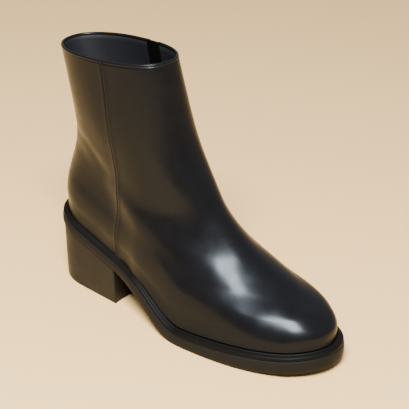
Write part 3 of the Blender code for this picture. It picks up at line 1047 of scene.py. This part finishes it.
    def build_collar_fold(self) -> None:
        """The folded edge along the collar, from one side of the zip round to the other."""
        order = [(self.slot_column + 1 + i) % self.grid.shape[1] for i in range(self.grid.shape[1])]
        edge, out = self.grid[-1][order], self.normals[-1][order]
        up = unit(edge - self.grid[-3][order])
        turns = np.linspace(0.0, 2.0 * pi, self.fold_around, endpoint=False)
        middle = edge - 0.5 * self.wall * out - self.fold_drop * up
        rows = [middle + self.fold_half * np.cos(t) * out + self.fold_tall * np.sin(t) * up for t in turns]
        faces = grid_faces(len(order), self.fold_around)
        faces += reversed_faces(end_faces(len(order), self.fold_around))
        self.bench.piece("collar_fold", np.stack(rows, axis=1).reshape(-1, 3), faces, LEATHER, Slot.LEATHER)

    def build_stitches(self) -> None:
        """A row of stitches along each lip of the zip."""
        points: list[np.ndarray] = []
        faces: Faces = []
        nearest = self.lip_out.index(self.stitch_out)
        first = next(i for i, v in enumerate(self.heights) if v >= self.zip_foot_level)
        for column in (self.slot_column - nearest, self.slot_column + 1 + nearest):
            out = self.normals[first:-1, column]
            lift = self.rise[first:-1, column] + self.stitch_lift
            self.stitching.sew(self.grid[first:-1, column] + lift[:, None] * out, out, points, faces)
        self.bench.piece("zip_stitches", np.concatenate(points), faces, THREAD, Slot.LEATHER)

    def build(self) -> None:
        """Builds every piece of the upper."""
        self.build_leather()
        self.build_lining()
        self.build_collar_fold()
        self.build_stitches()


@dataclass
class Sole:
    """Welt, outsole, heel block and footbed.

    A row of the welt's rim holds how far it stands out and up, its share of the wheel's marks and its share of the
    leather's flare. A row of the outsole's side holds how far it stands out and its share of the way down. The heel's
    edges hold how far they stand in, and their drop under the outsole or height over the floor.
    """

    last: Last
    bench: Bench
    welt_columns: int = 700
    sole_columns: int = 260
    welt_deep: float = 4.0
    gap: float = 0.3
    mark_out: float = 4.0
    mark_pitch: float = 1.5
    mark_deep: float = 0.28
    mark_sharp: int = 3
    breast_x: float = 75.5
    breast_hollow: float = 3.0
    breast_columns: int = 60
    back_taper: float = 0.8
    side_taper: float = 0.95
    heel_inset: float = 6.6
    heel_columns: int = 1040
    heel_core: float = 8.0
    heel_step: float = 0.7
    heel_shares: tuple[float, ...] = (0.25, 0.5, 0.75)
    heel_top: tuple[tuple[float, float], ...] = ((0.6, 0.0), (0.2, 0.05), (0.05, 0.2), (0.0, 0.6))
    heel_foot: tuple[tuple[float, float], ...] = (
        (0.0, 1.2), (0.12, 0.6), (0.45, 0.15), (1.1, 0.0), (8.0, 0.0),
    )
    joint: float = 0.05
    corner_passes: int = 3
    rim: tuple[tuple[float, float, float, float], ...] = (
        (-2.2, -4.25, 0.0, 0.0), (6.9, -4.25, 0.0, 0.0), (7.12, -3.6, 0.0, 0.0), (7.18, -2.9, 0.0, 0.0),
        (7.08, -2.2, 0.0, 0.0), (6.82, -1.6, 0.0, 0.0), (6.4, -1.12, 0.0, 0.0), (5.9, -0.8, 0.0, 0.0),
        (3.9, -0.62, 0.0, 0.5), (1.75, -0.5, 0.2, 1.0), (1.6, -0.3, 0.6, 1.0), (1.42, 0.0, 1.0, 1.0),
        (1.18, 0.22, 1.0, 1.0), (0.9, 0.3, 1.0, 1.0), (0.62, 0.24, 1.0, 1.0), (0.38, 0.06, 0.8, 1.0),
        (0.15, -0.2, 0.3, 1.0), (-0.4, -0.45, 0.0, 1.0), (-2.2, -0.5, 0.0, 0.0),
    )
    side: tuple[tuple[float, float], ...] = (
        (5.2, 0.0), (6.9, 0.0), (7.25, 0.04), (7.52, 0.13), (7.72, 0.28), (7.8, 0.50), (7.77, 0.66),
        (7.66, 0.78), (7.4, 0.88), (6.9, 0.95), (6.2, 0.985), (5.2, 1.0),
    )

    def build_welt(self) -> None:
        """The rim all round, with the wheel's marks across its inner bead."""
        plan = self.last.rim(self.mark_out, self.welt_columns)
        steps = np.linalg.norm(np.roll(plan, -1, axis=0) - plan, axis=1)
        run = np.concatenate([[0.0], np.cumsum(steps)[:-1]])
        count = round(steps.sum() / self.mark_pitch)
        wave = 0.5 - 0.5 * np.cos(2.0 * pi * count * run / steps.sum())
        mark = -self.mark_deep * wave**self.mark_sharp
        base = self.last.rim(0.0, self.welt_columns)
        outward = self.last.rim(1.0, self.welt_columns) - base
        flare = self.last.foot_flare(base[:, 0])
        loops = []
        for out, up, marked, carried in self.rim:
            line = base + (out + carried * flare)[:, None] * outward
            z = self.last.feather_height(line[:, 0]) + up + marked * mark
            loops.append(np.column_stack([line, z]))
        columns = len(plan)
        faces = grid_faces(len(loops), columns)
        end = columns * (len(loops) - 1)
        for c in range(columns):
            d = (c + 1) % columns
            faces.append((end + c, end + d, d, c))
        points, faces = np.concatenate(loops), reversed_faces(faces)
        self.bench.piece("welt_rim", points, faces, WELT_RUBBER, Slot.WELT, "welt")

    def sole_top(self, x: np.ndarray) -> np.ndarray:
        """Height of the outsole's upper face."""
        return self.last.feather_height(x) - self.welt_deep - self.gap

    def build_outsole(self) -> None:
        """The outsole with its rounded side."""
        loops = []
        for out, share in self.side:
            line = self.last.rim(out, self.sole_columns)
            x = line[:, 0]
            z = (1.0 - share) * self.sole_top(x) + share * self.last.ground_height(x)
            loops.append(np.column_stack([line, z]))
        columns = len(loops[0])
        faces = grid_faces(len(loops), columns)
        faces += reversed_faces(cap_faces(0, columns)) + cap_faces(columns * (len(loops) - 1), columns)
        points, faces = np.concatenate(loops), reversed_faces(faces)
        self.bench.piece("outsole_plate", points, faces, SOLE_RUBBER, Slot.SOLE, "outsole")

    def heel_plan(self) -> np.ndarray:
        """Plan of the heel block at the sole, with its corners rounded.

        Returns:
            A closed loop in plan.
        """
        walls = []
        for side in self.last.outline(self.heel_inset, self.heel_columns):
            upto = side[: np.argmax(side[:, 0])]
            upto = upto[upto[:, 0] <= self.breast_x]
            known = side[: len(upto) + 2]
            walls.append(np.vstack([upto, [self.breast_x, np.interp(self.breast_x, known[:, 0], known[:, 1])]]))
        across = np.linspace(0.0, 1.0, self.breast_columns)[1:-1]
        start, end = walls[0][-1], walls[1][-1]
        breast = start + across[:, None] * (end - start)
        breast[:, 0] -= self.breast_hollow * 4.0 * across * (1.0 - across)
        loop = np.concatenate([walls[0], breast, walls[1][::-1]])
        run = run_along(loop)
        at = np.linspace(0.0, run[-1], int(run[-1] / self.heel_step), endpoint=False)
        even = read_at(at, run, loop)
        for _ in range(self.corner_passes):
            even = 0.25 * np.roll(even, 1, axis=0) + 0.5 * even + 0.25 * np.roll(even, -1, axis=0)
        return even

    def build_heel(self) -> None:
        """The heel block, flat on the floor, tapered, with its edges rounded."""
        top = self.heel_plan()
        deep = self.breast_x - top[:, 0].min()
        foot = top.copy()
        foot[:, 0] = self.breast_x - (self.breast_x - top[:, 0]) * (deep - self.back_taper) / deep
        foot[:, 1] *= self.side_taper
        along = np.roll(foot, -1, axis=0) - np.roll(foot, 1, axis=0)
        inward = unit(np.column_stack([-along[:, 1], along[:, 0]]))
        roof = self.last.ground_height(top[:, 0]) - self.joint
        core = top + self.heel_core * inward
        loops = [np.column_stack([core, self.last.ground_height(core[:, 0]) - self.joint])]
        for inset, drop in self.heel_top:
            loops.append(np.column_stack([top + inset * inward, roof - drop]))
        wall_top, wall_foot = roof - self.heel_top[-1][1], self.heel_foot[0][1]
        for share in self.heel_shares:
            plan = (1.0 - share) * top + share * foot
            loops.append(np.column_stack([plan, (1.0 - share) * wall_top + share * wall_foot]))
        for inset, z in self.heel_foot:
            loops.append(np.column_stack([foot + inset * inward, np.full(len(foot), z)]))
        faces = grid_faces(len(loops), len(top)) + end_faces(len(loops), len(top))
        points, faces = np.concatenate(loops), reversed_faces(faces)
        self.bench.piece("heel_block", points, faces, HEEL_RUBBER, Slot.HEEL, "heel")

    def build(self) -> None:
        """Builds every piece of the sole."""
        self.build_welt()
        self.build_outsole()
        self.build_heel()
        self.bench.dress("insole", FOOTBED)


@dataclass
class Zip:
    """Tape, teeth, slider and pull.

    A row of a tooth's profile holds its reach from the middle and its shares of the tooth's height and thickness.
    """

    upper: Upper
    bench: Bench
    tooth_pitch: float = 1.7
    tooth_tall: float = 1.0
    tooth_out: float = 0.6
    tooth_thick: float = 1.2
    tooth_probe: float = 0.4
    tooth_profile: tuple[tuple[float, float, float], ...] = (
        (-0.5, 0.55, 0.7), (0.4, 1.0, 1.0), (2.2, 1.0, 0.8),
    )
    foot_level: float = 0.72
    top_level: float = 7.83
    tape_half: float = 7.0
    tape_columns: int = 13
    tape_foot: float = 0.45
    tape_gap: float = 0.3
    tape_thick: float = 0.8
    tape_over: float = 1.0

    def line(self) -> tuple[np.ndarray, np.ndarray, np.ndarray]:
        """The zip's middle line.

        Returns:
            Its points, the directions out of the leather and the directions across it.
        """
        upper = self.upper
        keep = (upper.heights >= self.foot_level) & (upper.heights <= self.top_level)
        left, right = upper.slot_column, upper.slot_column + 1
        path = 0.5 * (upper.grid[keep, left] + upper.grid[keep, right])
        out = unit(upper.normals[keep, left] + upper.normals[keep, right])
        return path, out, unit(upper.grid[keep, right] - upper.grid[keep, left])

    def build_tape(self) -> None:
        """The tape behind the slot, standing a little over the collar's edge."""
        upper = self.upper
        count = len(upper.lip_out)
        columns = list(range(upper.slot_column + 1 - count, upper.slot_column + 1 + count))
        across = np.linspace(-self.tape_half, self.tape_half, self.tape_columns)
        deep = upper.wall + self.tape_gap
        sections = []
        for row in np.flatnonzero(upper.heights >= self.tape_foot):
            known = upper.lip_places(upper.heights[row])
            face, out = (read_at(across, known, grid[row, columns]) for grid in (upper.grid, upper.normals))
            behind = face - (deep + self.tape_thick) * out
            sections.append(np.concatenate([face - deep * out, behind[::-1]]))
        sections.append(sections[-1] + self.tape_over * np.array([0.0, 0.0, 1.0]))
        around = 2 * self.tape_columns
        faces = grid_faces(len(sections), around)
        end = around * (len(sections) - 1)
        for c in range(self.tape_columns - 1):
            faces.append((c + 1, c, around - 1 - c, around - 2 - c))
            faces.append((end + c, end + c + 1, end + around - 2 - c, end + around - 1 - c))
        self.bench.piece("zip_tape_cloth", np.concatenate(sections), faces, ZIP_CLOTH, Slot.CLOTH, "zip_tape")

    def build_teeth(self) -> None:
        """Two rows of teeth that mesh along the middle."""
        path, out, across = self.line()
        run = run_along(path)
        points: list[np.ndarray] = []
        faces: Faces = []
        rings = len(self.tooth_profile)
        block = grid_faces(rings, len(CORNERS)) + end_faces(rings, len(CORNERS))
        places = np.arange(self.tooth_pitch, run[-1] - self.tooth_pitch, 0.5 * self.tooth_pitch)
        for number, place in enumerate(places):
            sign = 1.0 if number % 2 else -1.0
            middle, away = read_at(place, run, path), read_at(place, run, out)
            aside = sign * read_at(place, run, across)
            fore, hind = (read_at(place + step, run, path) for step in (self.tooth_probe, -self.tooth_probe))
            ahead = unit(fore - hind)
            tooth = []
            for reach, tall, thick in self.tooth_profile:
                for a, b in CORNERS:
                    up = 0.5 * self.tooth_tall * tall * a
                    deep = self.tooth_out + 0.5 * self.tooth_thick * (1.0 + b * thick)
                    tooth.append(middle + reach * aside + up * ahead - deep * away)
            points.append(np.array(tooth))
            faces += moved_faces(reversed_faces(block) if sign > 0 else block, number * len(tooth))
        teeth = np.concatenate(points)
        piece = self.bench.piece("zip_tooth_rows", teeth, faces, ZIP_TEETH, Slot.TEETH, "zip_chain")
        piece.data.polygons.foreach_set("use_smooth", np.zeros(len(piece.data.polygons), bool))

    def build(self) -> None:
        """Builds the tape and teeth and dresses the slider and pull."""
        self.build_tape()
        self.build_teeth()
        self.bench.dress("zip_slider", DARK_METAL)
        self.bench.dress("zip_pull", DARK_METAL)


@dataclass(frozen=True)
class Softbox:
    """A level rectangular lamp that shines down."""

    name: str
    place: Place
    size: tuple[float, float]
    power: float
    colour: Colour

    def build(self) -> None:
        """Adds the lamp."""
        data = bpy.data.lights.new(self.name, "AREA")
        data.shape = "RECTANGLE"
        data.size, data.size_y = self.size
        data.energy = self.power
        data.color = self.colour
        lamp = bpy.data.objects.new(self.name, data)
        lamp.matrix_world = Matrix.Translation(self.place)
        bpy.context.scene.collection.objects.link(lamp)


@dataclass
class Studio:
    """Floor, surroundings, lamp and camera."""

    floor_size: float = 8.0
    floor_colour: Colour = (0.86, 0.56, 0.235)
    floor_roughness: float = 0.6
    sky: Colour = (0.36, 0.39, 0.48)
    outer_side: Colour = (0.012, 0.012, 0.013)
    inner_side: Colour = (0.75, 0.61, 0.45)
    side_height: float = 0.70
    side_turn: tuple[float, float] = (-0.1, 0.7)
    camera_place: Place = (0.7047, -0.7414, 0.6478)
    camera_aim: Place = (0.0029, 0.0028, 0.0956)
    camera_roll: float = 0.5
    lens: float = 130.8
    sensor: float = 36.0
    lamp: Softbox = Softbox("overhead", (0.586, -0.839, 1.60), (0.78, 0.70), 150.0, (1.0, 0.985, 0.94))

    def build_floor(self) -> None:
        """A plain pale floor."""
        half = 0.5 * self.floor_size
        mesh = bpy.data.meshes.new("floor")
        mesh.from_pydata([(half * x, half * y, 0.0) for x, y in CORNERS], [], [(0, 1, 2, 3)])
        material = bpy.data.materials.new("floor")
        material.use_nodes = True
        shader = material.node_tree.nodes["Principled BSDF"]
        shader.inputs["Roughness"].default_value = self.floor_roughness
        shader.inputs["Base Color"].default_value = (*self.floor_colour, 1.0)
        mesh.materials.append(material)
        floor = bpy.data.objects.new("floor", mesh)
        bpy.context.scene.collection.objects.link(floor)

    def build_surroundings(self) -> None:
        """Dim surroundings under a cool sky: dark low on the outer side, warm low on the inner side."""
        world = bpy.data.worlds.new("studio")
        world.use_nodes = True
        helper = Shader(world.node_tree)
        split = helper.node("ShaderNodeSeparateXYZ", {0: helper.place("Generated")})
        low = helper.ranged(split.outputs["Z"], 0.0, self.side_height, (1.0, 0.0))
        inner = helper.ranged(split.outputs["Y"], *self.side_turn, (0.0, 1.0))
        whole = helper.blend(low, self.sky, helper.blend(inner, self.outer_side, self.inner_side))
        helper.fill(world.node_tree.nodes["Background"], {"Color": whole})
        bpy.context.scene.world = world

    def build_camera(self) -> None:
        """The camera at the photo's angle."""
        data = bpy.data.cameras.new("camera")
        data.lens = self.lens
        data.sensor_width = self.sensor
        camera = bpy.data.objects.new("camera", data)
        ahead = Vector(self.camera_aim) - Vector(self.camera_place)
        turn = ahead.to_track_quat("-Z", "Y").to_matrix().to_4x4()
        roll = Matrix.Rotation(radians(self.camera_roll), 4, "Z")
        camera.matrix_world = Matrix.Translation(self.camera_place) @ turn @ roll
        bpy.context.scene.collection.objects.link(camera)
        bpy.context.scene.camera = camera

    def build(self) -> None:
        """Builds the studio."""
        self.build_floor()
        self.build_surroundings()
        self.lamp.build()
        self.build_camera()


def main() -> None:
    """Builds the boot and its studio in order."""
    logging.basicConfig(level=logging.INFO, format="%(message)s")
    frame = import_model()
    last = Last()
    bench = Bench(frame, last)
    upper = Upper(last, bench)
    upper.build()
    Sole(last, bench).build()
    Zip(upper, bench).build()
    Studio().build()


if __name__ == "__main__":
    main()
